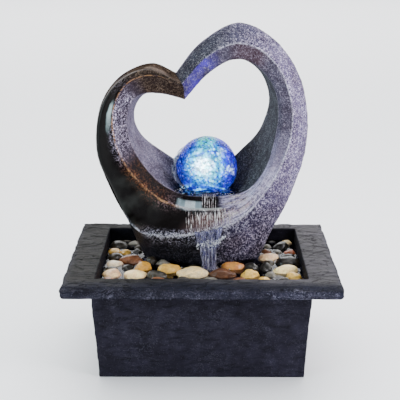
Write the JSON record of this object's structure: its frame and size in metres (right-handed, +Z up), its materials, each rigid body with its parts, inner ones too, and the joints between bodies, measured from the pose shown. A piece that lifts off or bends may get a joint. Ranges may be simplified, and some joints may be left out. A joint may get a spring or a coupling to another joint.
{
  "type": "tabletop water fountain",
  "caption": "Upright open heart with a lit glass ball in a water cup, standing on a pebble tray in a rectangular slate-look basin with a hidden submersible pump.",
  "frame": {"origin": "centre of the rectangular rim, at the level of the surface that the feet stand on", "axes": "+Z up, -Y towards the front from which the heart and the ball are seen, +X to the right as seen from the front"},
  "size_m": [0.216, 0.165, 0.273],
  "materials": {
    "slate": "matte",
    "soft_rubber": "matte",
    "jack_plastic": "satin",
    "contact_metal": "satin",
    "pump_plastic": "satin",
    "core_steel": "matte",
    "coil_copper": "satin",
    "shaft_ceramic": "polished",
    "seal_red": "matte",
    "clear_plastic": "gloss",
    "lead_pvc": "satin",
    "tray_plastic": "matte",
    "pebble_cream": "satin",
    "pebble_amber": "satin",
    "pebble_brown": "satin",
    "pebble_grey": "satin",
    "pebble_dark": "satin",
    "heart_resin": "gloss",
    "tube_vinyl": "satin",
    "white_plastic": "satin",
    "board_green": "satin",
    "led_epoxy": "gloss",
    "ball_glass": "gloss",
    "magnet": "matte",
    "impeller_plastic": "satin",
    "slider_plastic": "satin"
  },
  "bodies": {
    "basin": {"basin": "slate", "foot_pads": "soft_rubber", "inlet_shell": "jack_plastic", "inlet_pin": "contact_metal", "inlet_seal": "soft_rubber", "inlet_nut": "contact_metal", "pump_housing": "pump_plastic", "pump_back": "pump_plastic", "stator_core": "core_steel", "stator_coils": "coil_copper", "pump_shaft": "shaft_ceramic", "shaft_bushes": "soft_rubber", "chamber_lid": "pump_plastic", "chamber_seal": "seal_red", "pump_feet": "soft_rubber", "outlet_adapter": "clear_plastic", "pump_lead": "lead_pvc", "lead_gland": "soft_rubber", "led_socket": "jack_plastic"},
    "tray": {"pebble_tray": "tray_plastic", "pebbles_cream": "pebble_cream", "pebbles_amber": "pebble_amber", "pebbles_brown": "pebble_brown", "pebbles_grey": "pebble_grey", "pebbles_dark": "pebble_dark"},
    "heart": {"heart_sculpture": "heart_resin", "heart_pads": "soft_rubber", "nozzle_insert": "jack_plastic", "riser_tube": "tube_vinyl", "led_housing": "white_plastic", "led_board": "board_green", "led_bulbs": "led_epoxy", "led_lens": "clear_plastic", "led_seal": "soft_rubber", "led_lead": "lead_pvc", "led_plug": "jack_plastic", "ball_seat": "clear_plastic"},
    "ball": {"crystal_ball": "ball_glass"},
    "impeller": {"rotor_magnet": "magnet", "impeller_wheel": "impeller_plastic"},
    "pump_cover": {"pump_cover": "pump_plastic"},
    "flow_slider": {"flow_slider": "slider_plastic"}
  },
  "joints": [
    {"name": "tray_lift", "type": "slide", "parent": "basin", "child": "tray", "axis": [0, 0, 1], "range_m": [0, 0.06]},
    {"name": "heart_lift", "type": "slide", "parent": "tray", "child": "heart", "axis": [0, 0, 1], "range_m": [0, 0.08]},
    {"name": "ball_turn", "type": "hinge", "parent": "heart", "child": "ball", "pos_m": [0.004, 0.031, 0.152], "axis": [0, 0, 1], "continuous": true},
    {"name": "impeller_spin", "type": "hinge", "parent": "basin", "child": "impeller", "pos_m": [0, 0.031, 0.026], "axis": [1, 0, 0], "continuous": true},
    {"name": "cover_pull", "type": "slide", "parent": "basin", "child": "pump_cover", "axis": [-1, 0, 0], "range_m": [0, 0.012]},
    {"name": "flow_slide", "type": "slide", "parent": "pump_cover", "child": "flow_slider", "axis": [0, 0, 1], "range_m": [0, 0.01]}
  ]
}
